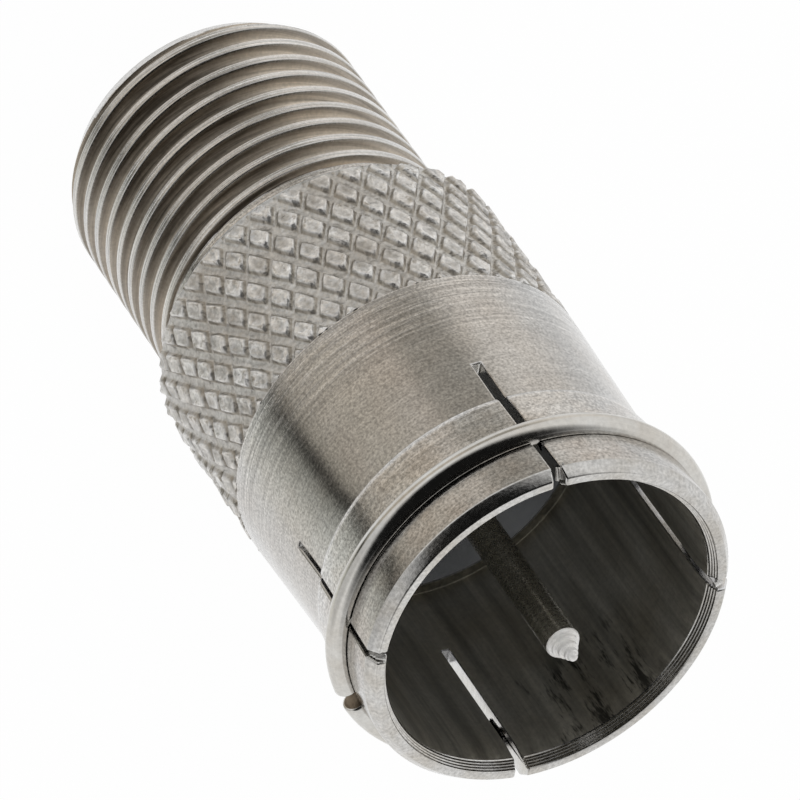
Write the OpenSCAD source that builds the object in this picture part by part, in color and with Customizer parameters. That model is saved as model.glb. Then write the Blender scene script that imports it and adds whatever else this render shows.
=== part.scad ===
// F type adapter, push-on plug to threaded jack.
// It stands on the jack end, with the slotted plug mouth and its pin up, and Z runs along its axis.
// Lengths are in millimetres.

/* [Jack end] */
// Diameter over the thread crests
thread_d = 9.46; // [9:0.01:9.6]
// Length of the threaded barrel
thread_l = 7.8; // [5:0.1:12]
// Width of the chamfer at the start of the thread
thread_chamfer_w = 0.5; // [0.1:0.05:0.6]
// Length of that chamfer
thread_chamfer_l = 0.85; // [0.2:0.05:1.5]
// Diameter at the bottom of the relief behind the thread
relief_d = 8.6; // [8.4:0.05:8.9]
// Length of the relief, slope and all
relief_l = 0.7; // [0.6:0.05:1.5]
// Diameter of the opening in the end face
jack_open_d = 6; // [4:0.1:6.4]
// Thickness of the lip round that opening
jack_lip_l = 0.5; // [0.3:0.05:1.5]
// Diameter of the bore behind the lip
jack_bore_d = 6.84; // [6.6:0.02:7.2]

/* [Grip] */
// Diameter over the knurled diamonds
grip_d = 10.98; // [10.9:0.02:12]
// Length of the knurled band
grip_l = 5.75; // [3:0.05:10]
// Distance from diamond to diamond round the band
knurl_pitch = 0.96; // [0.7:0.02:1.6]
// Angle of the grooves to the axis
knurl_angle = 30; // [25:1:40]
// Depth of the grooves
knurl_depth = 0.18; // [0.17:0.01:0.25]
// Width of a groove at the top, measured round the band
knurl_groove_w = 0.4; // [0.2:0.02:0.6]
// Drop of the diamonds at the jack end of the band
grip_chamfer = 0.16; // [0.05:0.01:0.17]
// Plain edge of the core below the diamonds
grip_edge = 0.1; // [0.05:0.01:0.15]
// Metal between the bottom of the grooves and the core
core_skin = 0.05; // [0.02:0.01:0.1]
// Depth to which the knurled band is sunk in the core
knurl_sink = 0.15; // [0.05:0.01:0.3]

/* [Sleeve] */
// Diameter of the sleeve beside the grip
sleeve_d = 10.94; // [10.8:0.02:11.6]
// Diameter of the sleeve beside the collar
sleeve_front_d = 10.6; // [10.5:0.02:10.9]
// Length of the smooth sleeve
sleeve_l = 5.25; // [4:0.05:9]
// How far the foot of the sleeve reaches under the diamonds
sleeve_foot = 0.1; // [0.05:0.01:0.2]

/* [Mouth] */
// Diameter of the collar beside the sleeve
collar_rear_d = 10.86; // [10.8:0.02:11]
// Diameter of the collar at the mouth
collar_d = 11.12; // [10.96:0.02:11.6]
// Length of the collar, mouth chamfer and all
collar_l = 3.7; // [3:0.05:6]
// Length of the lip in front of the ring groove
lip_l = 1.5; // [1:0.05:2]
// Width of the chamfer round the outside of the mouth
mouth_out_w = 0.21; // [0.05:0.01:0.24]
// Length of that chamfer
mouth_out_l = 0.31; // [0.1:0.01:0.6]
// Width of the chamfer round the inside of the mouth
mouth_in_w = 0.26; // [0.05:0.01:0.3]
// Length of that chamfer
mouth_in_l = 0.45; // [0.1:0.01:0.6]
// Diameter of the socket in the mouth
socket_d = 9.7; // [9.6:0.02:9.8]
// Depth of the socket down to its floor
socket_depth = 7.55; // [6:0.05:9]

/* [Slots] */
// Width of the saw slots
slot_w = 0.27; // [0.15:0.01:0.6]
// Length of the slots on the outside
slot_l = 5.15; // [4:0.05:6]
// Diameter of the slotting saw
saw_d = 60; // [40:1:80]

/* [Spring ring] */
// Diameter of the ring wire
wire_d = 0.7; // [0.5:0.02:0.9]
// Gap between the ends of the ring
ring_gap = 0.65; // [0.3:0.05:3]
// Direction of the gap, turned from +X
ring_gap_turn = 28; // [0:1:360]
// Wall left between the groove and the socket
groove_wall = 0.34; // [0.25:0.01:0.45]
// Play of the wire along the groove
ring_play = 0.08; // [0.04:0.01:0.2]

/* [Insulators] */
// Diameter of the front insulator
front_d = 9.1; // [8:0.05:9.4]
// Length of the front insulator
front_l = 4.35; // [3:0.05:5.5]
// Thickness of the web at the jack end
web_l = 1.4; // [0.8:0.05:2]
// Diameter of the hole through the web
entry_d = 1.4; // [1.36:0.02:1.8]
// Diameter of the funnel into that hole
funnel_d = 2.6; // [2:0.05:3.5]
// Depth of the funnel
funnel_l = 0.6; // [0.3:0.05:0.7]
// Diameter of the room round the tines
room_d = 3.2; // [2.6:0.05:3.8]

/* [Centre contact] */
// Diameter of the pin
pin_d = 1; // [0.7:0.02:1.1]
// Diameter of the neck that holds the pin in the front insulator
neck_d = 1.34; // [1.3:0.02:1.7]
// How far the pin stands out of the mouth
pin_out = 1.4; // [0:0.05:3]
// Length of the pin's cone
cone_l = 0.7; // [0.4:0.05:1]
// Diameter of the blunt tip
tip_d = 0.26; // [0.1:0.02:0.4]
// Diameter of the shank
shank_d = 2.2; // [1.8:0.05:2.4]
// How far the shank reaches into the front insulator
shank_in_l = 2.4; // [1:0.05:2.8]
// Diameter of the flange
flange_d = 4.4; // [4:0.05:6]
// Thickness of the flange
flange_l = 0.8; // [0.5:0.05:1.2]
// Diameter of the hole that takes the wire
wire_hole_d = 1.04; // [0.8:0.02:1.1]
// Depth of that hole
wire_hole_l = 6; // [4:0.1:7]
// Chamfer at the mouth of that hole
wire_hole_c = 0.15; // [0.05:0.01:0.2]
// Width of the slots between the tines
tine_slot_w = 0.18; // [0.1:0.01:0.2]
// Length of those slots
tine_slot_l = 4.6; // [2:0.1:5]
// Room between the tines and the web
tine_room = 0.3; // [0.1:0.05:0.8]

/* [Fits] */
// Room round a piece that sits in another, on each side
seat_gap = 0.01; // [0.01:0.005:0.03]

/* [Hidden] */
$fn = 96;

nickel = [0.73, 0.71, 0.67];
ring_nickel = [0.66, 0.65, 0.62];
dark_plastic = [0.22, 0.23, 0.25];

// Radii
thread_r = thread_d / 2;
relief_r = relief_d / 2;
grip_r = grip_d / 2;
root_r = grip_r - knurl_depth;
core_r = root_r - core_skin;
sleeve_r = sleeve_d / 2;
collar_r = collar_d / 2;
socket_r = socket_d / 2;
groove_r = socket_r + groove_wall;
front_r = front_d / 2;
jack_bore_r = jack_bore_d / 2;
wire_r = wire_d / 2;
ring_r = groove_r + seat_gap + wire_r;

// Heights, from the jack's end face up
grip_z = thread_l + relief_l;
sleeve_z = grip_z + grip_l;
collar_z = sleeve_z + sleeve_l;
mouth_z = collar_z + collar_l;
floor_z = mouth_z - socket_depth;
groove_w = wire_d + ring_play;
groove_z = mouth_z - lip_l - groove_w;
ring_z = groove_z + groove_w / 2;
pocket_z = floor_z - front_l;
flange_z = pocket_z - flange_l;
tip_z = mouth_z + pin_out;
web_z = jack_lip_l + web_l;
tine_z = web_z + tine_room;

// Radius of the collar at a height: it widens a little towards the mouth
collar_slope = (collar_d - collar_rear_d) / 2 / (collar_l - mouth_out_l);
function collar_at(z) = collar_rear_d / 2 + collar_slope * (z - collar_z);

// Knurl: whole diamonds round the band and whole half-diamonds along it
diamonds = round(PI * grip_d / knurl_pitch);
step_a = 180 / diamonds;
rows = max(2, round(grip_l * 2 * tan(knurl_angle) / knurl_pitch));
row_l = grip_l / rows;
// Share of a half-diamond that stands above the grooves
land = 1 - knurl_groove_w / (PI * grip_d / diamonds);

body_profile = [
    [jack_open_d / 2, 0],
    [thread_r - thread_chamfer_w, 0],
    [thread_r, thread_chamfer_l],
    [thread_r, thread_l],
    [relief_r, thread_l + thread_r - relief_r],
    [relief_r, grip_z - grip_edge],
    [core_r, grip_z - grip_edge],
    [core_r, sleeve_z - sleeve_foot],
    [sleeve_r, sleeve_z - sleeve_foot + sleeve_r - core_r],
    [sleeve_front_d / 2, collar_z],
    [collar_at(collar_z), collar_z],
    [collar_at(groove_z), groove_z],
    [groove_r, groove_z],
    [groove_r, groove_z + groove_w],
    [collar_at(groove_z + groove_w), groove_z + groove_w],
    [collar_r, mouth_z - mouth_out_l],
    [collar_r - mouth_out_w, mouth_z],
    [socket_r + mouth_in_w, mouth_z],
    [socket_r, mouth_z - mouth_in_l],
    [socket_r, floor_z],
    [front_r + seat_gap, floor_z],
    [front_r + seat_gap, pocket_z],
    [jack_bore_r, pocket_z],
    [jack_bore_r, jack_lip_l],
    [jack_open_d / 2, jack_lip_l]
];

contact_profile = [
    [wire_hole_d / 2 + wire_hole_c, tine_z],
    [shank_d / 2, tine_z],
    [shank_d / 2, flange_z],
    [flange_d / 2, flange_z],
    [flange_d / 2, pocket_z],
    [shank_d / 2, pocket_z],
    [shank_d / 2, pocket_z + shank_in_l],
    [neck_d / 2, pocket_z + shank_in_l],
    [neck_d / 2, floor_z],
    [pin_d / 2, floor_z],
    [pin_d / 2, tip_z - cone_l],
    [tip_d / 2, tip_z],
    [0, tip_z],
    [0, tine_z + wire_hole_l],
    [wire_hole_d / 2, tine_z + wire_hole_l - wire_hole_d / 4],
    [wire_hole_d / 2, tine_z + wire_hole_c]
];

front_profile = [
    [neck_d / 2 + seat_gap, floor_z],
    [front_r, floor_z],
    [front_r, pocket_z],
    [shank_d / 2 + seat_gap, pocket_z],
    [shank_d / 2 + seat_gap, pocket_z + shank_in_l],
    [neck_d / 2 + seat_gap, pocket_z + shank_in_l]
];

rear_profile = [
    [funnel_d / 2, jack_lip_l],
    [jack_bore_r - seat_gap, jack_lip_l],
    [jack_bore_r - seat_gap, flange_z],
    [room_d / 2, flange_z],
    [room_d / 2, web_z],
    [entry_d / 2, web_z],
    [entry_d / 2, jack_lip_l + funnel_l]
];

// One point of the knurl: turn and height in half-diamonds, radius in millimetres
function knurl_point(i, j, r) =
    let (a = step_a * ((i + 2 * diamonds) % (2 * diamonds)))
    [r * cos(a), r * sin(a), grip_z + j * row_l];

// Radius of a diamond's top at a height in half-diamonds, lower at the jack end of the band
function top_r(j) = grip_r - grip_chamfer * max(0, 1 - j);

// Corners of one diamond, from the top round by the left, with half a diamond at each end of the band
function corners(i, j, reach, radii) = [
    if (j < rows) knurl_point(i, j + reach, radii[0]),
    knurl_point(i - reach, j, radii[1]),
    if (j > 0) knurl_point(i, j - reach, radii[2]),
    knurl_point(i + reach, j, radii[1])
];

// Faces of one diamond: its flat top and the flanks that fall to the grooves
function diamond(i, j) =
    let (foot = corners(i, j, 1, [root_r, root_r, root_r]))
    let (top = corners(i, j, land, [top_r(j + land), top_r(j), top_r(j - land)]))
    let (n = len(top), cut = j == 0 ? 1 : j == rows ? 2 : n)
    concat([top], [for (k = [0 : n - 1]) if (k != cut) let (m = (k + 1) % n) [foot[k], foot[m], top[m], top[k]]]);

// Flat end of the band at one diamond, and the wall inside the band
function band_end(i, j) =
    let (r = core_r - knurl_sink)
    let (outline = [
        knurl_point(i, j, r),
        knurl_point(i + 1, j, r),
        knurl_point(i + 1, j, root_r),
        knurl_point(i + land, j, top_r(j)),
        knurl_point(i - land, j, top_r(j)),
        knurl_point(i - 1, j, root_r),
        knurl_point(i - 1, j, r)
    ])
    j == 0 ? outline : [for (k = [len(outline) : -1 : 1]) outline[k % len(outline)]];
function band_wall(i) =
    let (r = core_r - knurl_sink)
    [knurl_point(i, 0, r), knurl_point(i, rows, r), knurl_point(i + 1, rows, r), knurl_point(i + 1, 0, r)];

// Triangles of a face, fanned from its first corner and wound the way a polyhedron takes them
function fan(face) = [for (k = [2 : len(face) - 1]) [face[0], face[k], face[k - 1]]];

// Knurled band: a ring of raised diamonds, sunk a little way into the core
module knurl() {
    faces = concat(
        [for (j = [0 : rows], i = [j % 2 : 2 : 2 * diamonds - 1]) each diamond(i, j)],
        [for (j = [0, rows], i = [j % 2 : 2 : 2 * diamonds - 1]) band_end(i, j)],
        [for (i = [0 : 2 * diamonds - 1]) band_wall(i)]
    );
    triangles = [for (face = faces) each fan(face)];
    polyhedron(
        [for (t = triangles) each t],
        [for (k = [0 : len(triangles) - 1]) [3 * k, 3 * k + 1, 3 * k + 2]]
    );
}

// Slotting saw on the axis: one pass cuts two slots on opposite sides of the mouth
module saw_pass() {
    saw_r = saw_d / 2;
    reach = sqrt(saw_r * saw_r - collar_r * collar_r);
    translate([0, 0, mouth_z - slot_l + reach])
        rotate([90, 0, 0])
            cylinder(r = saw_r, h = slot_w, center = true);
}

module body() {
    color(nickel) {
        difference() {
            rotate_extrude() polygon(body_profile);
            for (turn = [0, 90]) rotate(turn) saw_pass();
        }
        knurl();
    }
}

module spring_ring() {
    gap_turn = 2 * asin(ring_gap / 2 / ring_r);
    color(ring_nickel)
        rotate(ring_gap_turn + gap_turn / 2)
            rotate_extrude(angle = 360 - gap_turn)
                translate([ring_r, ring_z]) circle(d = wire_d);
}

module centre_contact() {
    cut_l = 2 * tine_slot_l;
    color(nickel)
        difference() {
            rotate_extrude() polygon(contact_profile);
            for (turn = [45, 135])
                rotate(turn)
                    translate([0, 0, tine_z])
                        cube([shank_d + flange_d, tine_slot_w, cut_l], center = true);
        }
}

module front_insulator() {
    color(dark_plastic) rotate_extrude() polygon(front_profile);
}

module rear_insulator() {
    color(dark_plastic) rotate_extrude() polygon(rear_profile);
}

body();
spring_ring();
centre_contact();
front_insulator();
rear_insulator();
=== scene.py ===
# F adapter, push-on plug to threaded jack: the looks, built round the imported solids
import math
import random

import bmesh
import bpy
from mathutils import Matrix, Quaternion, Vector


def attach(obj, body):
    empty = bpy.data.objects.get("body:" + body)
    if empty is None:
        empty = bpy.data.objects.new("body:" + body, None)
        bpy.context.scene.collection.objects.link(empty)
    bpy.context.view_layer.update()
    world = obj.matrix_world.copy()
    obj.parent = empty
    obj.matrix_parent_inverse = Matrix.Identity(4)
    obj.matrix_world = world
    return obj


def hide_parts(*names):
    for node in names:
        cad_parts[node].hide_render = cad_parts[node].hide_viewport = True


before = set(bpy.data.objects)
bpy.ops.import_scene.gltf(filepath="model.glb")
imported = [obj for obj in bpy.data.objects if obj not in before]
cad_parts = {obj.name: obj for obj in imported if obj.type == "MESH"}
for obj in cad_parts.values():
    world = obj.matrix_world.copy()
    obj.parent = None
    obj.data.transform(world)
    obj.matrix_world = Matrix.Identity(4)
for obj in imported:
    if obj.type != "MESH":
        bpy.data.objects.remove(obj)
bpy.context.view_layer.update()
scene = bpy.context.scene
scene.view_settings.view_transform = "Standard"
mm = 0.001  # shapes are drawn in millimetres and brought to metres at the end
print("frame loaded:", sorted(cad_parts))


# small helpers for profiles, spins and finished pieces
def vertsIn(geom):
    return [part for part in geom if isinstance(part, bmesh.types.BMVert)]


def everything(bm):
    return bm.verts[:] + bm.edges[:] + bm.faces[:]


def drawProfile(bm, points):
    verts = [bm.verts.new((radius, 0, height)) for radius, height in points]
    return verts + [bm.edges.new(pair) for pair in zip(verts, verts[1:])]


def spinOn(bm, geom, degrees, steps, rise=0.0, closed=False):
    out = bmesh.ops.spin(
        bm, geom=geom, cent=(0, 0, 0), axis=(0, 0, 1), dvec=(0, 0, rise),
        angle=math.radians(degrees), steps=steps, use_merge=closed, use_duplicate=False,
    )
    return out["geom_last"]


def turn(bm, geom, degrees):
    matrix = Matrix.Rotation(math.radians(degrees), 3, "Z")
    bmesh.ops.rotate(bm, cent=(0, 0, 0), matrix=matrix, verts=vertsIn(geom))


def merge(bm, distance=1e-4):
    bmesh.ops.remove_doubles(bm, verts=bm.verts[:], dist=distance)


def radiusOf(point):
    return math.hypot(point.x, point.y)


def setRadius(vert, radius):
    scale = radius / max(radiusOf(vert.co), 1e-9)
    vert.co.x *= scale
    vert.co.y *= scale


def cutAcross(bm, place, normal, drop=None):
    # drop "below" or "above" removes that side, and without it the cut only adds edges
    bmesh.ops.bisect_plane(
        bm, geom=everything(bm), dist=1e-5, plane_co=place, plane_no=normal,
        clear_inner=drop == "below", clear_outer=drop == "above",
    )


def roundEdges(bm, edges, size, segments):
    bmesh.ops.bevel(
        bm, geom=edges, offset=size, offset_type="OFFSET", affect="EDGES", segments=segments,
        profile=0.5, material=-1,
    )


def finishPiece(bm, name, materials, nodes, sharpDegrees):
    bmesh.ops.recalc_face_normals(bm, faces=bm.faces[:])
    bmesh.ops.scale(bm, vec=(mm, mm, mm), verts=bm.verts[:])
    mesh = bpy.data.meshes.new(name)
    bm.to_mesh(mesh)
    bm.free()
    for material in materials:
        mesh.materials.append(material)
    mesh.shade_smooth()
    mesh.set_sharp_from_angle(angle=math.radians(sharpDegrees))
    piece = bpy.data.objects.new(name, mesh)
    scene.collection.objects.link(piece)
    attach(piece, "root")
    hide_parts(*nodes)
    print("piece", name, "with", len(mesh.polygons), "faces")
    return piece


# materials: every finish is a small node tree that reads Object coordinates
def addNode(tree, kind, links=None, **values):
    node = tree.nodes.new(kind)
    for key, value in values.items():
        setattr(node, key, value)
    for key, value in (links or {}).items():
        socket = node.inputs[key]
        if isinstance(value, bpy.types.NodeSocket):
            tree.links.new(value, socket)
        else:
            socket.default_value = value
    return node


def newFinish(name):
    material = bpy.data.materials.new(name)
    material.use_nodes = True
    tree = material.node_tree
    tree.nodes.clear()
    shader = addNode(tree, "ShaderNodeBsdfPrincipled")
    output = addNode(tree, "ShaderNodeOutputMaterial")
    tree.links.new(shader.outputs["BSDF"], output.inputs["Surface"])
    where = addNode(tree, "ShaderNodeTexCoord").outputs["Object"]
    return material, tree, shader, where


def noiseAt(tree, where, perMm, detail=3.0, rough=0.55, shift=0.0):
    # perMm is cycles per millimetre along X, Y and Z
    placed = addNode(
        tree, "ShaderNodeMapping",
        {"Vector": where, "Scale": [each / mm for each in perMm], "Location": (shift, shift, shift)},
    )
    noise = addNode(
        tree, "ShaderNodeTexNoise",
        {"Vector": placed.outputs["Vector"], "Scale": 1.0, "Detail": detail, "Roughness": rough},
    )
    return noise.outputs["Fac"]


def remap(tree, value, low, high, toLow=0.0, toHigh=1.0):
    node = addNode(
        tree, "ShaderNodeMapRange",
        {"Value": value, "From Min": low, "From Max": high, "To Min": toLow, "To Max": toHigh},
    )
    return node.outputs["Result"]


def calc(tree, operation, first, second):
    node = addNode(tree, "ShaderNodeMath", operation=operation)
    for socket, value in zip(node.inputs, (first, second)):
        if isinstance(value, bpy.types.NodeSocket):
            tree.links.new(value, socket)
        else:
            socket.default_value = value
    return node.outputs["Value"]


def vectorCalc(tree, operation, first, second=(0, 0, 0), output="Vector"):
    node = addNode(tree, "ShaderNodeVectorMath", {0: first, 1: second}, operation=operation)
    return node.outputs[output]


def blendColours(tree, share, first, second, mode="MIX"):
    node = addNode(tree, "ShaderNodeMix", data_type="RGBA", blend_type=mode, clamp_factor=True)
    for socket, value in zip((node.inputs[0], node.inputs[6], node.inputs[7]), (share, first, second)):
        if isinstance(value, bpy.types.NodeSocket):
            tree.links.new(value, socket)
        elif isinstance(value, float):
            socket.default_value = value
        else:
            socket.default_value = (*value, 1.0)
    return node.outputs[2]


def axisRadius(tree, where):
    flat = vectorCalc(tree, "MULTIPLY", where, (1, 1, 0))
    return calc(tree, "MULTIPLY", vectorCalc(tree, "LENGTH", flat, output="Value"), 1 / mm)


def axisHeight(tree, where):
    split = addNode(tree, "ShaderNodeSeparateXYZ", {"Vector": where})
    return calc(tree, "MULTIPLY", split.outputs["Z"], 1 / mm)


def setStops(ramp, stops):
    while len(ramp.elements) > 1:
        ramp.elements.remove(ramp.elements[-1])
    for index, (position, shade) in enumerate(stops):
        stop = ramp.elements[0] if index == 0 else ramp.elements.new(position)
        stop.position = position
        stop.color = (*shade, 1) if isinstance(shade, tuple) else (shade, shade, shade, 1)


def sawDistance(tree, where, centre):
    # how far a point of a slot wall lies from the saw's axle, for the arcs that its teeth leave
    offset = calc(tree, "SUBTRACT", axisHeight(tree, where), centre)
    reach = axisRadius(tree, where)
    squares = [calc(tree, "MULTIPLY", side, side) for side in (offset, reach)]
    return calc(tree, "SQRT", calc(tree, "ADD", *squares), 0.0)


def toolMarks(tree, where, look):
    # lines run round the axis, along it, or in arcs about the saw's axle
    across, run = look["linesPerMm"], look.get("lineRun", 0.04)
    if look["lines"] == "around":
        return noiseAt(tree, where, (run, run, across), 4.0, 0.72)
    if look["lines"] == "along":
        return noiseAt(tree, where, (across, across, 0.12), 4.0, 0.65)
    arcs = addNode(tree, "ShaderNodeCombineXYZ", {"X": sawDistance(tree, where, look["sawCentre"])})
    scaled = vectorCalc(tree, "MULTIPLY", arcs.outputs["Vector"], (mm, mm, mm))
    return noiseAt(tree, scaled, (across, across, across), 3.0, 0.7)


def grimeAndShadeAt(tree, where, look):
    # grime or wear, and on the thread painted shade, between two distances from the axis, and maybe on one
    # side or at one end only
    shares = [
        remap(tree, axisRadius(tree, where), *look["grimeAndShadeRadius"], 1.0, 0.0),
        remap(tree, noiseAt(tree, where, look["grimeAndShadePerMm"], 4.0, 0.7, 9.1), *look["grimeAndShadePatch"]),
    ]
    if "grimeAndShadeTurn" in look:
        side = math.radians(look["grimeAndShadeTurn"])
        outward = vectorCalc(tree, "NORMALIZE", vectorCalc(tree, "MULTIPLY", where, (1, 1, 0)))
        nearness = vectorCalc(tree, "DOT_PRODUCT", outward, (math.cos(side), math.sin(side), 0), "Value")
        shares.append(remap(tree, nearness, *look["grimeAndShadeSpan"]))
    if "soilHeight" in look:
        shares.append(remap(tree, axisHeight(tree, where), *look["soilHeight"]))
    total = look["grimeAndShadeShare"]
    for share in shares:
        total = calc(tree, "MULTIPLY", share, total)
    return total


# the part of a noise that carries its pattern: clouds, then lines or grain, then grain and cloud added up
noiseSpan = {"cloud": (0.36, 0.66), "mark": (0.3, 0.7), "sum": (0.6, 1.4)}


def platedMetal(name, look):
    material, tree, shader, where = newFinish(name)
    shader.inputs["Metallic"].default_value = look.get("metallic", 1.0)
    if "dull" in look:  # plating that has gone matt towards the axis
        tree.links.new(remap(tree, axisRadius(tree, where), *look["dull"]), shader.inputs["Metallic"])
    lines = toolMarks(tree, where, look)
    if "lineZone" in look:  # the lines are strongest at one end
        strength = remap(tree, axisHeight(tree, where), *look["lineZone"])
        lines = calc(tree, "ADD", calc(tree, "MULTIPLY", calc(tree, "SUBTRACT", lines, 0.5), strength), 0.5)
    grain = noiseAt(tree, where, (look["grainPerMm"],) * 3, 2.0, 0.6)
    cloud = noiseAt(tree, where, look["cloudPerMm"], 3.0, 0.6, 4.3)
    tone = blendColours(tree, remap(tree, cloud, *noiseSpan["cloud"]), look["light"], look["warm"])
    if "tones" in look:  # shades by distance from the axis
        low, high = look["tones"][0][0], look["tones"][-1][0]
        reach = remap(tree, axisRadius(tree, where), low, high)
        shades = addNode(tree, "ShaderNodeValToRGB", {"Fac": reach})
        stops = [((radius - low) / (high - low), shade) for radius, shade in look["tones"]]
        setStops(shades.color_ramp, stops)
        tone = blendColours(tree, 1.0, tone, shades.outputs["Color"], "MULTIPLY")
    # grime on the grip and in the bore, and painted shade in the thread's roots
    if "grimeAndShade" in look:
        tone = blendColours(tree, grimeAndShadeAt(tree, where, look), tone, look["grimeAndShade"])
    lined = remap(tree, lines, *noiseSpan["mark"], 1.0 - look["lineShade"], 1.0)
    speck = remap(tree, grain, *noiseSpan["mark"], 1.0 - look["grainShade"], 1.0)
    coloured = blendColours(tree, 1.0, tone, calc(tree, "MULTIPLY", lined, speck), "MULTIPLY")
    tree.links.new(coloured, shader.inputs["Base Color"])
    rough = remap(tree, calc(tree, "ADD", grain, cloud), *noiseSpan["sum"], *look["rough"])
    if "roughen" in look:  # rougher towards the axis
        rough = calc(tree, "ADD", rough, remap(tree, axisRadius(tree, where), *look["roughen"]))
    tree.links.new(rough, shader.inputs["Roughness"])
    relief = calc(tree, "MULTIPLY", lines, look["lineDepth"])
    relief = calc(tree, "ADD", relief, calc(tree, "MULTIPLY", grain, look["grainDepth"]))
    if "dents" in look:
        perMm, depth = look["dents"]
        dents = noiseAt(tree, where, (perMm, perMm, perMm), 2.0, 0.5, 2.7)
        relief = calc(tree, "ADD", relief, calc(tree, "MULTIPLY", dents, depth))
    bump = addNode(tree, "ShaderNodeBump", {"Height": relief, "Strength": 1.0, "Distance": mm})
    tree.links.new(bump.outputs["Normal"], shader.inputs["Normal"])
    return material
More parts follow.
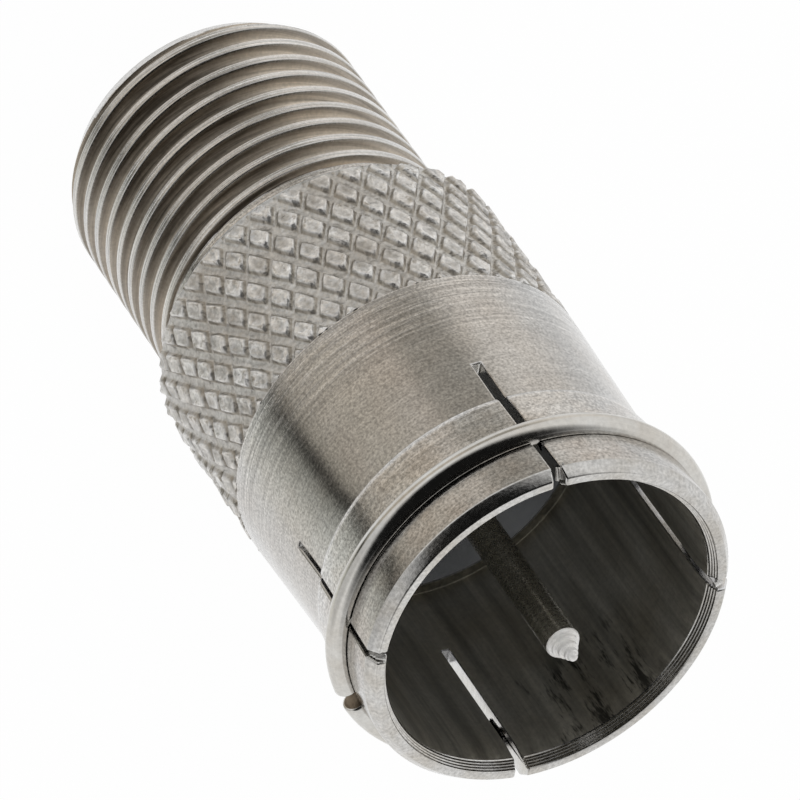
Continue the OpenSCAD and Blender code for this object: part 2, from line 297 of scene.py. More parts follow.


# one look for each worked zone: depths in millimetres, colours as plain metal under white light, save the
# painted shade and highlight marked below
metalLooks = {
    "threadNickel": {
        "light": (0.95, 0.94, 0.92), "warm": (0.88, 0.85, 0.81), "cloudPerMm": (0.5, 0.5, 0.6),
        "lines": "around", "linesPerMm": 16.0, "lineShade": 0.55, "lineDepth": 0.004, "lineRun": 0.07,
        "grainPerMm": 10.0, "grainShade": 0.2, "grainDepth": 0.002, "rough": (0.18, 0.28),
        # painted shade: a dark band on the flanks just under the crest; the roots are brown
        "tones": [
            (4.3, (0.92, 0.83, 0.71)), (4.5, (0.92, 0.83, 0.71)), (4.6, (0.76, 0.69, 0.61)),
            (4.69, (0.54, 0.5, 0.44)), (4.725, 1.0),
        ],
        "roughen": (4.58, 4.7, 0.22, 0.0), "dull": (4.5, 4.63, 0.75, 1.0),
        # painted shade: the roots are darkened in patches on one side
        "grimeAndShade": (0.15, 0.125, 0.095), "grimeAndShadeRadius": (4.62, 4.70), "grimeAndShadePerMm": (0.22, 0.22, 7.0),
        "grimeAndShadePatch": (0.25, 0.6), "grimeAndShadeShare": 0.95, "grimeAndShadeTurn": -48.0, "grimeAndShadeSpan": (0.7, 0.93),
    },
    "knurlNickel": {
        "light": (0.79, 0.78, 0.76), "warm": (0.70, 0.67, 0.63), "cloudPerMm": (0.5, 0.5, 0.5),
        "lines": "around", "linesPerMm": 5.0, "lineShade": 0.06, "lineDepth": 0.001,
        "grainPerMm": 7.0, "grainShade": 0.36, "grainDepth": 0.022, "rough": (0.26, 0.42),
        "dents": (3.2, 0.085), "dull": (5.41, 5.46, 0.7, 0.9),
        # painted shade down the pad flanks, and a painted highlight at the pad rims
        "tones": [
            (5.27, 0.88), (5.31, (0.86, 0.84, 0.80)), (5.34, (0.56, 0.52, 0.46)),
            (5.40, (0.62, 0.59, 0.54)), (5.44, 0.95), (5.47, 1.25), (5.49, 1.12),
        ],
        "grimeAndShade": (0.34, 0.29, 0.22), "grimeAndShadeRadius": (5.47, 5.43), "grimeAndShadePerMm": (3.4, 3.4, 3.4),
        "grimeAndShadePatch": (0.52, 0.68), "grimeAndShadeShare": 0.7,
    },
    "sleeveNickel": {
        "light": (0.84, 0.83, 0.81), "warm": (0.81, 0.77, 0.72), "cloudPerMm": (0.35, 0.35, 0.25),
        "lines": "around", "linesPerMm": 11.0, "lineShade": 0.42, "lineDepth": 0.006, "lineRun": 0.16,
        "lineZone": (14.6, 17.0, 1.9, 0.6),
        "grainPerMm": 13.0, "grainShade": 0.5, "grainDepth": 0.0012, "rough": (0.08, 0.17),
    },
    "collarNickel": {
        "light": (0.94, 0.93, 0.91), "warm": (0.86, 0.81, 0.75), "cloudPerMm": (0.8, 0.8, 0.8),
        "lines": "around", "linesPerMm": 11.0, "lineShade": 0.34, "lineDepth": 0.004, "lineRun": 0.16,
        "grainPerMm": 12.0, "grainShade": 0.56, "grainDepth": 0.003, "rough": (0.1, 0.22),
    },
    "lipNickel": {
        "light": (0.84, 0.83, 0.81), "warm": (0.76, 0.71, 0.66), "cloudPerMm": (0.8, 0.8, 0.8),
        "lines": "around", "linesPerMm": 11.0, "lineShade": 0.34, "lineDepth": 0.004, "lineRun": 0.16,
        "grainPerMm": 12.0, "grainShade": 0.56, "grainDepth": 0.003, "rough": (0.1, 0.22),
    },
    "faceNickel": {
        "light": (0.80, 0.79, 0.77), "warm": (0.70, 0.67, 0.62), "cloudPerMm": (0.7, 0.7, 0.7),
        "lines": "saw", "sawCentre": 0.0, "linesPerMm": 7.0, "lineShade": 0.4, "lineDepth": 0.004,
        "grainPerMm": 10.0, "grainShade": 0.3, "grainDepth": 0.002, "rough": (0.14, 0.26),
    },
    "boreNickel": {
        "light": (0.70, 0.68, 0.61), "warm": (0.58, 0.54, 0.45), "cloudPerMm": (0.4, 0.4, 0.3),
        "lines": "along", "linesPerMm": 2.6, "lineShade": 0.55, "lineDepth": 0.01,
        "grainPerMm": 8.0, "grainShade": 0.2, "grainDepth": 0.001, "rough": (0.36, 0.5), "metallic": 0.9,
        "grimeAndShade": (0.03, 0.03, 0.025), "grimeAndShadeRadius": (4.95, 5.05), "grimeAndShadePerMm": (2.4, 2.4, 0.4),
        "grimeAndShadePatch": (0.52, 0.6), "grimeAndShadeShare": 0.85, "grimeAndShadeTurn": 120.0, "grimeAndShadeSpan": (0.90, 0.96),
        "soilHeight": (19.4, 20.6),
    },
    "edgeNickel": {
        "light": (0.74, 0.73, 0.71), "warm": (0.66, 0.63, 0.58), "cloudPerMm": (0.9, 0.9, 0.9),
        "lines": "around", "linesPerMm": 14.0, "lineShade": 0.2, "lineDepth": 0.002,
        "grainPerMm": 10.0, "grainShade": 0.36, "grainDepth": 0.003, "rough": (0.12, 0.24),
    },
    "sawnNickel": {
        "light": (0.84, 0.84, 0.85), "warm": (0.76, 0.74, 0.70), "cloudPerMm": (0.8, 0.8, 0.8),
        "lines": "saw", "sawCentre": 47.5, "linesPerMm": 5.0, "lineShade": 0.2, "lineDepth": 0.006,
        "grainPerMm": 9.0, "grainShade": 0.12, "grainDepth": 0.002, "rough": (0.16, 0.28),
    },
    "ringWire": {
        "light": (0.70, 0.69, 0.66), "warm": (0.62, 0.59, 0.54), "cloudPerMm": (0.6, 0.6, 0.6),
        "lines": "around", "linesPerMm": 14.0, "lineShade": 0.14, "lineDepth": 0.001,
        "grainPerMm": 7.0, "grainShade": 0.15, "grainDepth": 0.0014, "rough": (0.1, 0.2),
    },
    "pinNickel": {
        "light": (0.72, 0.70, 0.62), "warm": (0.55, 0.52, 0.43), "cloudPerMm": (1.0, 1.0, 0.4),
        "metallic": 0.96, "lines": "around", "linesPerMm": 6.0, "lineShade": 0.5, "lineDepth": 0.012,
        "grainPerMm": 12.0, "grainShade": 0.25, "grainDepth": 0.0012, "rough": (0.2, 0.34),
    },
    "tipNickel": {
        "light": (0.97, 0.96, 0.94), "warm": (0.92, 0.90, 0.86), "cloudPerMm": (2.0, 2.0, 2.0),
        "metallic": 0.22, "lines": "around", "linesPerMm": 6.0, "lineShade": 0.1, "lineDepth": 0.006,
        "grainPerMm": 7.0, "grainShade": 0.2, "grainDepth": 0.008, "rough": (0.3, 0.4),
    },
    "tornNickel": {
        "light": (0.92, 0.91, 0.88), "warm": (0.80, 0.77, 0.72), "cloudPerMm": (2.0, 2.0, 2.0),
        "metallic": 0.85, "lines": "along", "linesPerMm": 8.0, "lineShade": 0.3, "lineDepth": 0.01,
        "grainPerMm": 9.0, "grainShade": 0.3, "grainDepth": 0.01, "rough": (0.3, 0.45),
    },
    # painted shade: the wire's cut ends are dark brown for the shadow that they lie in
    "shadedWireEnd": {
        "light": (0.34, 0.29, 0.23), "warm": (0.24, 0.19, 0.14), "cloudPerMm": (2.0, 2.0, 2.0),
        "lines": "along", "linesPerMm": 7.0, "lineShade": 0.4, "lineDepth": 0.01,
        "grainPerMm": 9.0, "grainShade": 0.3, "grainDepth": 0.006, "rough": (0.3, 0.45),
    },
}
finishes = {name: platedMetal(name, look) for name, look in metalLooks.items()}
print("finishes made:", len(finishes))

# threaded barrel: one turn of the profile, wound up and stacked along the axis
threadCut = {
    "pitch": 25.4 / 32, "crest": 4.73, "crestAt": 1.97, "turnsBelow": 4.5, "turns": 13, "steps": 112,
    "rise": [  # half a pitch, from the middle of the root to the middle of the crest
        (4.40, 0), (4.404, 0.05), (4.416, 0.095), (4.44, 0.135), (4.48, 0.17), (4.55, 0.204),
        (4.62, 0.231), (4.69, 0.256), (4.714, 0.27), (4.727, 0.29), (4.73, 0.315), (4.73, 0.38),
        (4.724, 0.397),
    ],
    "chamferTo": 4.18, "chamferSlope": 0.62, "runOut": (7.45, 7.8), "band": 4.7, "bandTop": 8.3,
}


def windThread(bm, cut):
    pitch, crest, rise = cut["pitch"], cut["crest"], cut["rise"]
    root = rise[0][0]
    profile = rise + [(radius, pitch - height) for radius, height in reversed(rise[:-1])]
    start = cut["crestAt"] - cut["turnsBelow"] * pitch
    geom = drawProfile(bm, [(radius, start + height) for radius, height in profile])
    spinOn(bm, geom, 360, cut["steps"], rise=pitch / cut["steps"])
    oneTurn = everything(bm)
    for lap in range(1, cut["turns"]):
        copied = bmesh.ops.duplicate(bm, geom=oneTurn)["geom"]
        bmesh.ops.translate(bm, vec=(0, 0, lap * pitch), verts=vertsIn(copied))
    merge(bm)
    cutAcross(bm, (0, 0, 0), (0, 0, 1), "below")
    cutAcross(bm, (0, 0, cut["bandTop"]), (0, 0, 1), "above")
    runFrom, runTo = cut["runOut"]
    for vert in bm.verts:  # chamfer at the start, and roots that come up to a plain band at the end
        share = min(max((vert.co.z - runFrom) / (runTo - runFrom), 0), 1)
        least = root + (cut["band"] - root) * share
        chamfer = cut["chamferTo"] + cut["chamferSlope"] * vert.co.z
        most = min(chamfer, crest + (cut["band"] - crest) * share)
        setRadius(vert, min(max(radiusOf(vert.co), least), most))


# shoulder between the thread's band and the grip
shoulderCut = {"profile": [(4.74, 8.36), (5.02, 8.38), (5.06, 8.44)], "steps": 144}


def turnShoulder(bm, cut):
    spinOn(bm, drawProfile(bm, cut["profile"]), 360, cut["steps"], closed=True)


# knurled grip: one raised pad, laid out flat in rows and rolled round the band
gripCut = {
    "around": 36, "halfTall": 0.775, "from": 8.5, "to": 14.25, "firstRow": -0.25,
    "root": 5.29, "depth": 0.2, "chamferFrom": 5.08,
    "rings": [  # share of the pad across each set of grooves, height, and how far its corners are worn
        (0.80, 0.95, 0.0, 0.0), (0.62, 0.81, 0.115, 0.7), (0.53, 0.72, 0.182, 1.0),
        (0.43, 0.62, 0.2, 1.0), (0.2, 0.3, 0.165, 1.0),
    ],
    "wearLong": 0.09, "wearWide": 0.06, "lean": (0.14, 0.1), "leanFrom": 0.09, "sink": 0.035,
}


def cutPad(bm, cut, halfWide, halfTall):
    corners = ((-halfWide, 0, 0), (0, -halfTall, 0), (halfWide, 0, 0), (0, halfTall, 0))
    pad = bm.faces.new([bm.verts.new(corner) for corner in corners])
    bmesh.ops.subdivide_edges(bm, edges=pad.edges[:], cuts=1)
    outline = [vert.co.copy() for vert in pad.verts]
    for wide, narrow, height, worn in cut["rings"]:
        bmesh.ops.inset_individual(bm, faces=[pad], thickness=0.01, depth=0)
        for vert, place in zip(pad.verts, outline):
            onLong, onWide = abs(place.x) < 1e-4, abs(place.y) < 1e-4
            wear = cut["wearLong"] if onLong else cut["wearWide"] if onWide else 0
            across, along = place.x / halfWide, place.y / halfTall
            first, second = (across + along) * wide, (across - along) * narrow
            flat = Vector(((first + second) * halfWide / 2, (first - second) * halfTall / 2, 0))
            vert.co = flat * (1 - wear * worn)
            vert.co.z = height


def rollKnurl(bm, cut):
    dice = random.Random(7)
    top = cut["root"] + cut["depth"]
    halfWide, halfTall = math.pi * top / cut["around"], cut["halfTall"]
    cutPad(bm, cut, halfWide, halfTall)
    spare = everything(bm)
    total = cut["to"] - cut["from"]
    rows = math.ceil(total / halfTall) + 1
    for row in range(rows + 1):
        for column in range((row + 1) % 2, 2 * cut["around"], 2):
            verts = vertsIn(bmesh.ops.duplicate(bm, geom=spare)["geom"])
            place = Vector((column * halfWide, cut["firstRow"] + row * halfTall, 0))
            lean = Vector([dice.uniform(-most, most) for most in cut["lean"]] + [0])
            sink = dice.uniform(0, cut["sink"])
            for vert in verts:
                if vert.co.z > cut["leanFrom"]:
                    vert.co.z += vert.co.dot(lean) - sink
            bmesh.ops.translate(bm, vec=place, verts=verts)
    bmesh.ops.delete(bm, geom=vertsIn(spare), context="VERTS")
    merge(bm)
    cutAcross(bm, (0, 0, 0), (0, 1, 0), "below")
    cutAcross(bm, (0, total, 0), (0, 1, 0), "above")
    for drop in (cut["root"] - cut["chamferFrom"], top - cut["chamferFrom"]):
        cutAcross(bm, (0, drop, 0), (0, 1, 0))
    for vert in bm.verts:  # roll the flat sheet up, with the chamfer at the thread's end
        angle = vert.co.x / top
        height = cut["from"] + vert.co.y
        radius = min(cut["root"] + vert.co.z, cut["chamferFrom"] + vert.co.y)
        vert.co = (radius * math.cos(angle), radius * math.sin(angle), height)
    merge(bm, 1e-3)


# shell: sleeve, collar, ring groove, lip, mouth and the bore right through to the jack's end
shellCut = {
    "outer": [
        (5.44, 14.25), (5.462, 14.265), (5.468, 14.30), (5.462, 14.8), (5.43, 15.6), (5.40, 16.4),
        (5.375, 17.2), (5.35, 17.9), (5.335, 18.4), (5.32, 18.9), (5.306, 19.40),  # sleeve
        (5.308, 19.455), (5.325, 19.482), (5.352, 19.495), (5.379, 19.515), (5.401, 19.55),
        (5.417, 19.60), (5.428, 19.67), (5.436, 19.76), (5.456, 20.2), (5.482, 20.88),  # collar
        (5.474, 20.908), (5.45, 20.92), (5.19, 20.92), (5.19, 21.70), (5.48, 21.70),  # ring groove
        (5.502, 21.71), (5.513, 21.735), (5.536, 22.3), (5.558, 22.86), (5.554, 22.89),  # lip
        (5.545, 22.911), (5.374, 23.165), (5.362, 23.181), (5.345, 23.194), (5.325, 23.2),
    ],
    "inner": [
        (5.13, 23.2), (5.105, 23.195), (5.09, 23.175), (5.075, 23.11), (5.045, 23.103),
        (5.03, 23.04), (5.0, 23.033), (4.985, 22.97), (4.955, 22.963), (4.94, 22.90),
        (4.92, 22.87), (4.885, 22.6), (4.85, 22.3),  # stepped edge of the mouth
        (4.85, 21.7), (4.85, 21.1), (4.85, 20.5), (4.85, 19.9), (4.85, 19.3), (4.85, 18.8),
        (4.85, 18.35), (4.85, 17.82), (4.85, 16.6), (4.85, 15.8), (4.845, 15.68),
        (4.82, 15.65), (4.56, 15.65), (4.56, 11.3), (3.42, 11.3), (3.42, 0.5), (3.0, 0.5),
        (3.0, 0.03), (3.03, 0.0),  # seats of the two insulators
    ],
    # turn round the axis, half width, and how much higher its end lies, for each slot
    "slots": [(-4.5, 0.105, 0.16), (85.5, 0.13, 0.28), (180.5, 0.125, 0.16), (273.2, 0.13, 0.0)],
    "slotOuterEnd": 17.9, "slotInnerEnd": 17.82, "slotReach": 5.3, "fingerSteps": 44, "edge": 0.05,
    "flareFrom": 22.88, "flare": 0.2, "innerSkin": 4.7, "outerSkin": 5.0, "leastSide": 0.05, "slack": 0.01,
    # how far each finger in turn is bent out at its two sides
    "bends": [(-0.03, 0.0), (0.02, 0.02), (0.0, -0.03), (-0.01, -0.01)], "bendReach": 4.6,
}


def halfTurnOf(slot):
    return math.degrees(math.asin(slot[1] / shellCut["slotReach"]))


def spinShell(bm, cut):
    slots = cut["slots"]
    geom = drawProfile(bm, cut["outer"] + cut["inner"])
    turn(bm, geom, slots[0][0] + halfTurnOf(slots[0]))
    for slot, following in zip(slots, slots[1:] + slots[:1]):
        span = (following[0] - slot[0]) % 360 - halfTurnOf(slot) - halfTurnOf(following)
        geom = spinOn(bm, geom, span, cut["fingerSteps"])
        geom = spinOn(bm, geom, 2 * halfTurnOf(following), 2)
    merge(bm)


def sawSlot(bm, cut, slot):
    turned, half, rise = slot
    bored, outside, halfTurn = cut["slotInnerEnd"], cut["slotOuterEnd"], halfTurnOf(slot)
    middle = Vector((math.cos(math.radians(turned)), math.sin(math.radians(turned)), 0))
    side = Vector((-middle.y, middle.x, 0))

    def across(point):
        return abs(math.degrees(math.atan2(point.dot(side), point.dot(middle))))

    def sawn(face):
        point = face.calc_center_median()
        reach = radiusOf(point)
        end = outside if reach > cut["outerSkin"] else bored
        return reach > cut["innerSkin"] and point.z > end and across(point) < halfTurn

    def onRim(vert):
        return vert.co.z > bored - cut["slack"] and across(vert.co) < halfTurn * (1 + cut["slack"])

    bmesh.ops.delete(bm, geom=[face for face in bm.faces if sawn(face)], context="FACES")
    rims = [edge for edge in bm.edges if edge.is_boundary and all(onRim(vert) for vert in edge.verts)]
    for vert in {v for e in rims for v in e.verts}:  # parallel walls, as a saw leaves them
        offset = vert.co.dot(side)
        if abs(offset) > cut["leastSide"]:
            flare = max(vert.co.z - cut["flareFrom"], 0) * cut["flare"]
            offset = math.copysign(half + flare, offset)
            along = math.sqrt(radiusOf(vert.co) ** 2 - offset * offset)
            vert.co.xy = (middle * along + side * offset).xy
        if vert.co.z < outside + cut["slack"]:
            vert.co.z += rise
    ends, walls = [], []
    for sign in (-1, 1):
        wallEdges = [e for e in rims if all(v.co.dot(side) * sign > cut["leastSide"] for v in e.verts)]
        wallVerts = {v for e in wallEdges for v in e.verts}
        tips = [v for v in wallVerts if sum(v in e.verts for e in wallEdges) == 1]
        ends.append(bm.edges.new(tips))
        walls += bmesh.ops.edgeloop_fill(bm, edges=wallEdges + ends[-1:])["faces"]
    floors = [e for e in rims if e not in {x for w in walls for x in w.edges}]
    return walls + bmesh.ops.edgeloop_fill(bm, edges=floors + ends)["faces"]


def bendFingers(bm, cut):
    start, end = cut["slotInnerEnd"], cut["outer"][-1][1]
    turns = [slot[0] for slot in cut["slots"]]
    spans = [(following - turned) % 360 for turned, following in zip(turns, turns[1:] + turns[:1])]
    for vert in bm.verts:
        if vert.co.z > start and radiusOf(vert.co) > cut["bendReach"]:
            angle = math.degrees(math.atan2(vert.co.y, vert.co.x))
            shares = [(angle - turned) % 360 / span for turned, span in zip(turns, spans)]
            finger = next(index for index, share in enumerate(shares) if share <= 1)
            first, last = cut["bends"][finger]
            reach = ((vert.co.z - start) / (end - start)) ** 2
            setRadius(vert, radiusOf(vert.co) + (first + (last - first) * shares[finger]) * reach)


# burrs that the saw has torn at the mouth of three slots, as rows of small ribs on a wall
burrCut = {
    # the first rib lies so far out from the axis, so many half widths across the slot, and so high
    "tears": [
        {"slot": 0, "first": (5.31, 0.4, 22.9), "step": (-0.02, 0.0, 0.08), "long": 0.36, "thick": 0.07},
        {"slot": 2, "first": (5.31, 0.2, 22.9), "step": (-0.055, 0.0, 0.08), "long": 0.32, "thick": 0.085},
        {"slot": 3, "first": (5.4, -1.85, 22.94), "step": (0.0, 0.62, 0.012), "long": 0.44, "thick": 0.055},
    ],
    "ribs": 4, "sides": 6, "taper": 0.55, "longSpread": (0.7, 1.1), "lean": 25.0, "leanSpread": (0.4, 1.4),
}


def addBurrs(bm, cut, slots):
    dice = random.Random(11)
    faces = set()
    for tear in cut["tears"]:
        turned, half = slots[tear["slot"]][:2]
        for rib in range(cut["ribs"]):
            made = bmesh.ops.create_cone(
                bm, cap_ends=True, segments=cut["sides"], radius1=tear["thick"],
                radius2=tear["thick"] * cut["taper"], depth=tear["long"] * dice.uniform(*cut["longSpread"]),
            )["verts"]
            lean = math.radians(90 + cut["lean"] * dice.uniform(*cut["leanSpread"]))
            bmesh.ops.rotate(bm, cent=(0, 0, 0), matrix=Matrix.Rotation(lean, 3, "Y"), verts=made)
            reach, across, height = [start + step * rib for start, step in zip(tear["first"], tear["step"])]
            bmesh.ops.translate(bm, vec=(reach, across * half, height), verts=made)
            turn(bm, made, turned)
            faces |= {face for vert in made for face in vert.link_faces}
    return faces


def openLoop(verts, height):
    inside = set(verts)
    edges = {edge for vert in verts for edge in vert.link_edges if edge.is_boundary}
    return [
        edge for edge in edges
        if all(vert in inside and abs(vert.co.z - height) < 1e-3 for vert in edge.verts)
    ]


def bringIn(bm, maker, cut):
    # a part of the body is made in its own mesh, then added here
    made = bmesh.new()
    maker(made, cut)
    spare = bpy.data.meshes.new("spare")
    made.to_mesh(spare)
    made.free()
    before = set(bm.verts)
    bm.from_mesh(spare)
    bpy.data.meshes.remove(spare)
    return [vert for vert in bm.verts if vert not in before]


bodyZones = [
    "faceNickel", "threadNickel", "knurlNickel", "sleeveNickel", "collarNickel", "lipNickel", "edgeNickel",
    "boreNickel", "sawnNickel", "tornNickel",
]
zoneCut = {  # heights and distances from the axis at which one finish gives way to the next
    "faceTop": 0.02, "threadTop": 8.4, "chamferSkin": 0.02, "gripTop": 14.24, "mouthFrom": 14.0,
    "sleeveTop": 19.48, "lipFrom": 21.69, "edgeFrom": 22.87, "boreReach": 3.6, "mouthReach": 4.93,
    "padReach": 5.0,
}


def zoneOf(face):
    point = face.calc_center_median()
    reach = radiusOf(point)
    if point.z < zoneCut["faceTop"]:
        return "faceNickel"
    inMouth = reach < zoneCut["mouthReach"] and zoneCut["mouthFrom"] < point.z < zoneCut["edgeFrom"]
    if inMouth or reach < zoneCut["boreReach"]:
        return "boreNickel"
    if point.z < zoneCut["threadTop"]:
        chamfer = threadCut["chamferTo"] + threadCut["chamferSlope"] * point.z
        onChamfer = reach > chamfer - zoneCut["chamferSkin"]
        return "sleeveNickel" if onChamfer or point.z > threadCut["runOut"][1] else "threadNickel"
    if point.z < zoneCut["gripTop"]:
        return "knurlNickel"
    if point.z > zoneCut["edgeFrom"]:
        return "edgeNickel"
    if point.z > zoneCut["lipFrom"]:
        return "lipNickel"
    return "sleeveNickel" if point.z < zoneCut["sleeveTop"] else "collarNickel"


bodyMesh = bmesh.new()
spinShell(bodyMesh, shellCut)
slotWalls = [wall for slot in shellCut["slots"] for wall in sawSlot(bodyMesh, shellCut, slot)]
for face in bodyMesh.faces:
    face.material_index = bodyZones.index(zoneOf(face))
for face in slotWalls:
    face.material_index = bodyZones.index("sawnNickel")
roundEdges(bodyMesh, list({e for f in slotWalls for e in f.edges}), shellCut["edge"], 2)
for face in addBurrs(bodyMesh, burrCut, shellCut["slots"]):
    face.material_index = bodyZones.index("tornNickel")
bendFingers(bodyMesh, shellCut)
shellVerts = bodyMesh.verts[:]
shellFaces = set(bodyMesh.faces)
print("shell spun and slotted:", len(bodyMesh.faces))

threadVerts = bringIn(bodyMesh, windThread, threadCut)
gripVerts = bringIn(bodyMesh, rollKnurl, gripCut)
shoulderVerts = bringIn(bodyMesh, turnShoulder, shoulderCut)
shoulderFoot, shoulderTop = shoulderCut["profile"][0][1], shoulderCut["profile"][-1][1]
joins = (
    (shellVerts, threadVerts, 0.0, 0.0),
    (shellVerts, gripVerts, gripCut["to"], gripCut["to"]),
    (threadVerts, shoulderVerts, threadCut["bandTop"], shoulderFoot),
    (shoulderVerts, gripVerts, shoulderTop, gripCut["from"]),
)
apart = Vector((0, 0, 1))  # rims in one plane are held apart meanwhile, so none is joined back to front
for firstVerts, secondVerts, firstHeight, secondHeight in joins:
    firstRim, secondRim = openLoop(firstVerts, firstHeight), openLoop(secondVerts, secondHeight)
    raised = list({vert for edge in secondRim for vert in edge.verts})
    bmesh.ops.translate(bodyMesh, vec=apart, verts=raised)
    bmesh.ops.bridge_loops(bodyMesh, edges=firstRim + secondRim)
    bmesh.ops.translate(bodyMesh, vec=-apart, verts=raised)
for face in set(bodyMesh.faces) - shellFaces:
    face.material_index = bodyZones.index(zoneOf(face))
print("body closed:", not any(e.is_boundary for e in bodyMesh.edges))
bodyFinishes = [finishes[zone] for zone in bodyZones]
body = finishPiece(bodyMesh, "body.shell", bodyFinishes, ["body"], sharpDegrees=16)
for edge in body.data.edges:  # the worn pads of the grip have no sharp edges
    ends = [body.data.vertices[index].co / mm for index in edge.vertices]
    onGrip = all(gripCut["from"] < end.z < zoneCut["gripTop"] for end in ends)
    if onGrip and radiusOf(ends[0]) > zoneCut["padReach"]:
        edge.use_edge_sharp = False

# spring ring: round wire, sprung open at one gap
ringCut = {
    "centre": 5.56, "height": 21.34, "wire": 0.35, "gap": 6.2, "gapAt": 25.9, "endEdge": 0.06,
    "steps": 180, "sides": 32,
    "shift": (0.043, 0.026, 0.0),  # it hangs a little to one side in its groove
}


def springRing(bm, cut):
    made = bmesh.ops.create_circle(bm, cap_ends=True, radius=cut["wire"], segments=cut["sides"])["verts"]
    upright = Matrix.Rotation(math.pi / 2, 3, "X")
    bmesh.ops.rotate(bm, cent=(0, 0, 0), matrix=upright, verts=made)
    bmesh.ops.translate(bm, vec=(cut["centre"], 0, cut["height"]), verts=made)
    turn(bm, made, cut["gapAt"] + cut["gap"] / 2)
    spinOn(bm, everything(bm), 360 - cut["gap"], cut["steps"])
    rims = [edge for edge in bm.edges if any(len(face.verts) > 4 for face in edge.link_faces)]
    roundEdges(bm, rims, cut["endEdge"], 3)
    for face in bm.faces:
        face.material_index = int(len(face.verts) > 4)
    bmesh.ops.translate(bm, vec=cut["shift"], verts=bm.verts[:])


ringMesh = bmesh.new()
springRing(ringMesh, ringCut)
ringFinishes = [finishes["ringWire"], finishes["shadedWireEnd"]]
finishPiece(ringMesh, "spring.ring", ringFinishes, ["spring_ring"], sharpDegrees=40)

# centre contact: pin with a blunt cone, neck, flange and four tines that take the wire
contactCut = {
    "pin": [
        (0.0, 24.60), (0.06, 24.595), (0.11, 24.57), (0.14, 24.52), (0.15, 24.44),  # blunt end
        (0.195, 24.425), (0.203, 24.30), (0.222, 24.29), (0.23, 24.25), (0.29, 24.235),
        (0.298, 24.12), (0.318, 24.11), (0.326, 24.07), (0.395, 24.05), (0.403, 23.96),
        (0.47, 23.935), (0.49, 23.90),  # steps turned on the cone
        (0.50, 23.85), (0.50, 22.2), (0.50, 19.2), (0.50, 15.65), (0.67, 15.645), (0.67, 13.7),  # neck
        (1.1, 13.7), (1.1, 11.3), (2.17, 11.3), (2.2, 11.27), (2.2, 10.53), (2.17, 10.5),  # flange
        (1.1, 10.5), (1.1, 6.8), (0.52, 6.8), (0.52, 7.94), (0.0, 8.2),
    ],
    "tine": [(1.1, 6.8), (1.1, 2.23), (1.07, 2.2), (0.67, 2.2), (0.52, 2.35), (0.52, 6.8)],
    "coneFrom": 23.86, "steps": 64, "tineTurn": 45.0, "tineGap": 12.0, "tineSteps": 14,
}


def centreContact(bm, cut):
    spinOn(bm, drawProfile(bm, cut["pin"]), 360, cut["steps"], closed=True)
    merge(bm)
    for face in bm.faces:
        face.material_index = int(face.calc_center_median().z > cut["coneFrom"])
    for quarter in range(4):
        outline = vertsIn(drawProfile(bm, cut["tine"]))
        tine = bm.faces.new(outline)
        start = outline + list(tine.edges) + [tine]
        turn(bm, start, cut["tineTurn"] + 90 * quarter + cut["tineGap"] / 2)
        spinOn(bm, start, 90 - cut["tineGap"], cut["tineSteps"])


contactMesh = bmesh.new()
centreContact(contactMesh, contactCut)
contactFinishes = [finishes["pinNickel"], finishes["tipNickel"]]
finishPiece(
    contactMesh, "centre.contact", contactFinishes, ["centre_contact"], sharpDegrees=24,
)

# insulators: a plug that is the floor of the mouth and a cup in the jack end, in dark moulded plastic
plasticLook = {
    "dark": (0.24, 0.25, 0.265), "pale": (0.31, 0.32, 0.335), "cloudPerMm": 0.5, "cloudSpan": (0.35, 0.65),
    "rough": (0.3, 0.48), "grainPerMm": 5.0, "grainDepth": 0.004,
}
insulatorCuts = {
    "front.insulator": {
        "node": "front_insulator",
        "profile": [
            (0.68, 15.64), (0.70, 15.65), (4.50, 15.65), (4.55, 15.60), (4.55, 11.3), (1.11, 11.3),
            (1.11, 13.7), (0.68, 13.7),
        ],
    },
    "rear.insulator": {
        "node": "rear_insulator",
        "profile": [
            (1.3, 0.5), (3.36, 0.5), (3.41, 0.55), (3.41, 10.5), (1.6, 10.5), (1.6, 1.9), (0.7, 1.9),
            (0.7, 1.1),
        ],
    },
}
insulatorSteps = 96


def mouldedPlastic(name, look):
    material, tree, shader, where = newFinish(name)
    cloud = noiseAt(tree, where, (look["cloudPerMm"],) * 3, 4.0, 0.6)
    grain = noiseAt(tree, where, (look["grainPerMm"],) * 3, 3.0)
    tone = blendColours(tree, remap(tree, cloud, *look["cloudSpan"]), look["dark"], look["pale"])
    tree.links.new(tone, shader.inputs["Base Color"])
    tree.links.new(remap(tree, grain, *noiseSpan["mark"], *look["rough"]), shader.inputs["Roughness"])
    depth = look["grainDepth"] * mm
    bump = addNode(tree, "ShaderNodeBump", {"Height": grain, "Strength": 1.0, "Distance": depth})
    tree.links.new(bump.outputs["Normal"], shader.inputs["Normal"])
    return material


darkInsulator = mouldedPlastic("darkInsulator", plasticLook)
for pieceName, cut in insulatorCuts.items():
    cupMesh = bmesh.new()
    outline = drawProfile(cupMesh, cut["profile"] + cut["profile"][:1])
    spinOn(cupMesh, outline, 360, insulatorSteps, closed=True)
    merge(cupMesh)
    finishPiece(cupMesh, pieceName, [darkInsulator], [cut["node"]], sharpDegrees=30)

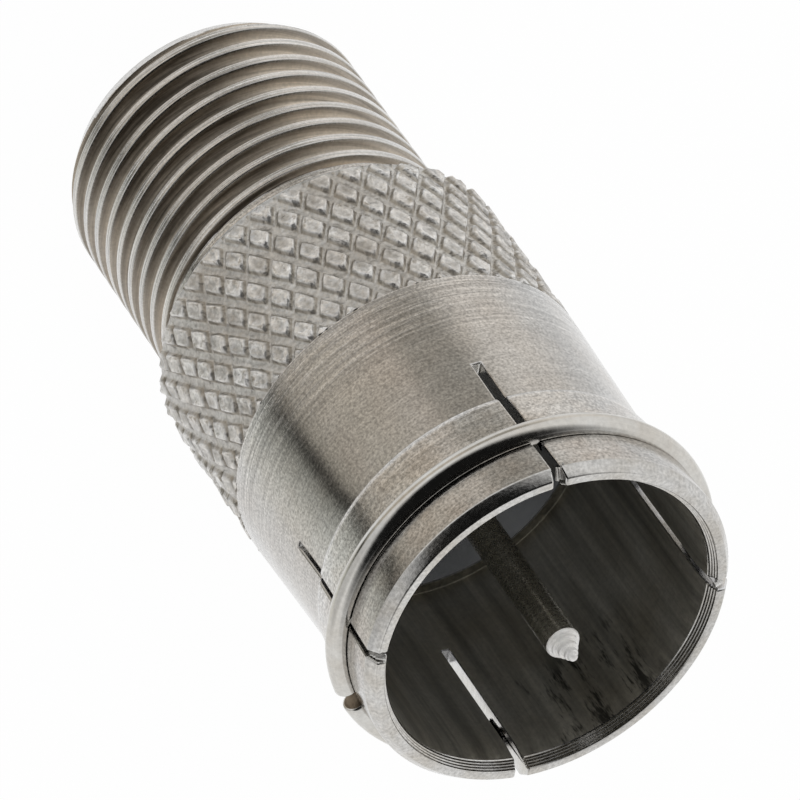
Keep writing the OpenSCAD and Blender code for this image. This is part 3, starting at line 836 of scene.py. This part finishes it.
# studio: a floor so white that its shadow hardly shows, and a sky that is dark behind the camera
studio = {
    "floorSize": 6.0, "floorDrop": 0.00002, "floorColour": (0.9, 0.9, 0.9), "floorGlow": 0.98,
    "cameraTurn": -59.0,
}
floorMesh = bmesh.new()
bmesh.ops.create_grid(floorMesh, x_segments=1, y_segments=1, size=studio["floorSize"])
floorData = bpy.data.meshes.new("floor")
floorMesh.to_mesh(floorData)
floorMesh.free()
floor = bpy.data.objects.new("floor", floorData)
floor.location.z = -studio["floorDrop"]
scene.collection.objects.link(floor)
floor.visible_glossy = False  # the metal sees the toned sky below it, and not the floor
paper = bpy.data.materials.new("paper")
paper.use_nodes = True
paperTree = paper.node_tree
paperTree.nodes.clear()
matte = addNode(paperTree, "ShaderNodeBsdfDiffuse", {"Color": (*studio["floorColour"], 1)})
glow = addNode(paperTree, "ShaderNodeEmission", {"Color": (1, 1, 1, 1), "Strength": 1.0})
rays = addNode(paperTree, "ShaderNodeLightPath").outputs
straight = calc(paperTree, "MAXIMUM", rays["Is Camera Ray"], rays["Is Transmission Ray"])
seen = calc(paperTree, "MAXIMUM", straight, rays["Is Glossy Ray"])
share = calc(paperTree, "MULTIPLY", seen, studio["floorGlow"])
paperMix = addNode(
    paperTree, "ShaderNodeMixShader", {0: share, 1: matte.outputs["BSDF"], 2: glow.outputs["Emission"]},
)
paperOut = addNode(paperTree, "ShaderNodeOutputMaterial")
paperTree.links.new(paperMix.outputs["Shader"], paperOut.inputs["Surface"])
floorData.materials.append(paper)

skyLook = {
    "cardTurn": 66.0, "cardLift": -8.0, "cardFrom": (0.8, 1.0), "cardTo": (0.94, 0.72),
    "darkTurn": 60.0, "darkWaist": 0.35, "darkFrom": (0.29, 1.0), "darkTo": (0.67, 0.01),
    "lowBand": (-0.42, -0.56), "lowEnd": (-0.78, -0.88),
    "lowStops": {  # degrees round from the camera, and the tone of the low band there
        -180: 1.0, -144: 1.0, -120: 0.86, -96: (0.96, 0.93, 0.89), -70: (0.96, 0.92, 0.87),
        -58: (0.72, 0.69, 0.64), -48: (0.45, 0.43, 0.39), -24: (0.47, 0.44, 0.39),
        -13: (0.67, 0.61, 0.54), 24: (0.65, 0.60, 0.52), 36: (0.60, 0.55, 0.48),
        51: (0.48, 0.45, 0.39), 57: (0.07, 0.067, 0.06), 62: (0.07, 0.067, 0.06),
        68: (0.41, 0.41, 0.37), 84: (0.74, 0.74, 0.69), 96: (0.93, 0.93, 0.89), 120: 1.0,
    },
}
world = bpy.data.worlds.new("studio")
scene.world = world
world.use_nodes = True
sky = world.node_tree
sky.nodes.clear()
facing = math.radians(studio["cameraTurn"])
frontAxis = Vector((math.cos(facing), math.sin(facing), 0))
leftAxis = Vector((-math.sin(facing), math.cos(facing), 0))
towards = addNode(sky, "ShaderNodeTexCoord").outputs["Generated"]


def alongWorld(direction):
    return vectorCalc(sky, "DOT_PRODUCT", towards, direction, "Value")


def toneBetween(share, bright, dark):
    (brightEdge, brightLevel), (darkEdge, darkLevel) = bright, dark
    return remap(sky, share, brightEdge, darkEdge, brightLevel, darkLevel)


front, left, height = alongWorld(frontAxis), alongWorld(leftAxis), alongWorld((0, 0, 1))
darkTurn = math.radians(skyLook["darkTurn"])
cameraSide = alongWorld(frontAxis * math.cos(darkTurn) + Vector((0, 0, math.sin(darkTurn))))
waist = calc(sky, "MULTIPLY", calc(sky, "MULTIPLY", left, left), skyLook["darkWaist"])
cameraSide = calc(sky, "SUBTRACT", cameraSide, waist)
darkSide = toneBetween(cameraSide, skyLook["darkFrom"], skyLook["darkTo"])
cardTurn, cardLift = math.radians(skyLook["cardTurn"]), math.radians(skyLook["cardLift"])
cardFlat = frontAxis * math.cos(cardTurn) + leftAxis * math.sin(cardTurn)
cardSide = alongWorld(cardFlat * math.cos(cardLift) + Vector((0, 0, math.sin(cardLift))))
card = toneBetween(cardSide, skyLook["cardFrom"], skyLook["cardTo"])
darkSide = calc(sky, "MULTIPLY", darkSide, card)
around = calc(sky, "ARCTAN2", left, front)
bandTop = remap(sky, height, *skyLook["lowBand"])
low = calc(sky, "MULTIPLY", bandTop, remap(sky, height, *skyLook["lowEnd"], 1.0, 0.0))
lowFront = addNode(sky, "ShaderNodeValToRGB", {"Fac": remap(sky, around, -math.pi, math.pi)})
lowStops = [((degrees + 180) / 360, level) for degrees, level in skyLook["lowStops"].items()]
setStops(lowFront.color_ramp, lowStops)
floorTone = blendColours(sky, low, (1.0, 1.0, 1.0), lowFront.outputs["Color"])
toned = blendColours(sky, 1.0, floorTone, darkSide, "MULTIPLY")
backdrop = addNode(sky, "ShaderNodeBackground", {"Color": toned, "Strength": 1.0})
skyOut = addNode(sky, "ShaderNodeOutputWorld")
sky.links.new(backdrop.outputs["Background"], skyOut.inputs["Surface"])

# camera: the photograph's own angle, rolled so that the mouth points down to the right
shot = {
    "place": (0.08955828, -0.14946124, 0.17535331), "azimuth": 31.0, "elevation": 42.985, "roll": -144.599,
    "lens": 379.907, "sensor": 36.0, "clip": (0.01, 10.0),
}
cameraData = bpy.data.cameras.new("camera")
cameraData.lens = shot["lens"]
cameraData.sensor_width = shot["sensor"]
cameraData.clip_start, cameraData.clip_end = shot["clip"]
camera = bpy.data.objects.new("camera", cameraData)
scene.collection.objects.link(camera)
azimuth, elevation = math.radians(shot["azimuth"]), math.radians(shot["elevation"])
flatBackward = Vector((math.sin(azimuth), -math.cos(azimuth), 0))
backward = flatBackward * math.cos(elevation) + Vector((0, 0, math.sin(elevation)))
upright = (-backward).to_track_quat("-Z", "Y")
camera.rotation_mode = "QUATERNION"
camera.rotation_quaternion = upright @ Quaternion((0, 0, 1), math.radians(-shot["roll"]))
camera.location = shot["place"]
scene.camera = camera

# a broad soft lamp beside the camera lights what is matt, without a mark of its own in the metal
fillLamp = {"power": 0.5, "size": 0.2, "away": 0.34, "turn": -12.0, "lift": 45.0}
lampData = bpy.data.lights.new("fill", "AREA")
lampData.shape, lampData.size, lampData.energy = "DISK", fillLamp["size"], fillLamp["power"]
lamp = bpy.data.objects.new("fill", lampData)
lamp.visible_glossy = False
lamp.rotation_mode = "QUATERNION"
lampTurn, lampLift = math.radians(fillLamp["turn"]), math.radians(fillLamp["lift"])
lampFlat = frontAxis * math.cos(lampTurn) + leftAxis * math.sin(lampTurn)
lamp.location = (lampFlat * math.cos(lampLift) + Vector((0, 0, math.sin(lampLift)))) * fillLamp["away"]
lamp.rotation_quaternion = (-lamp.location).to_track_quat("-Z", "Y")
scene.collection.objects.link(lamp)
print("studio, camera and lamp set")
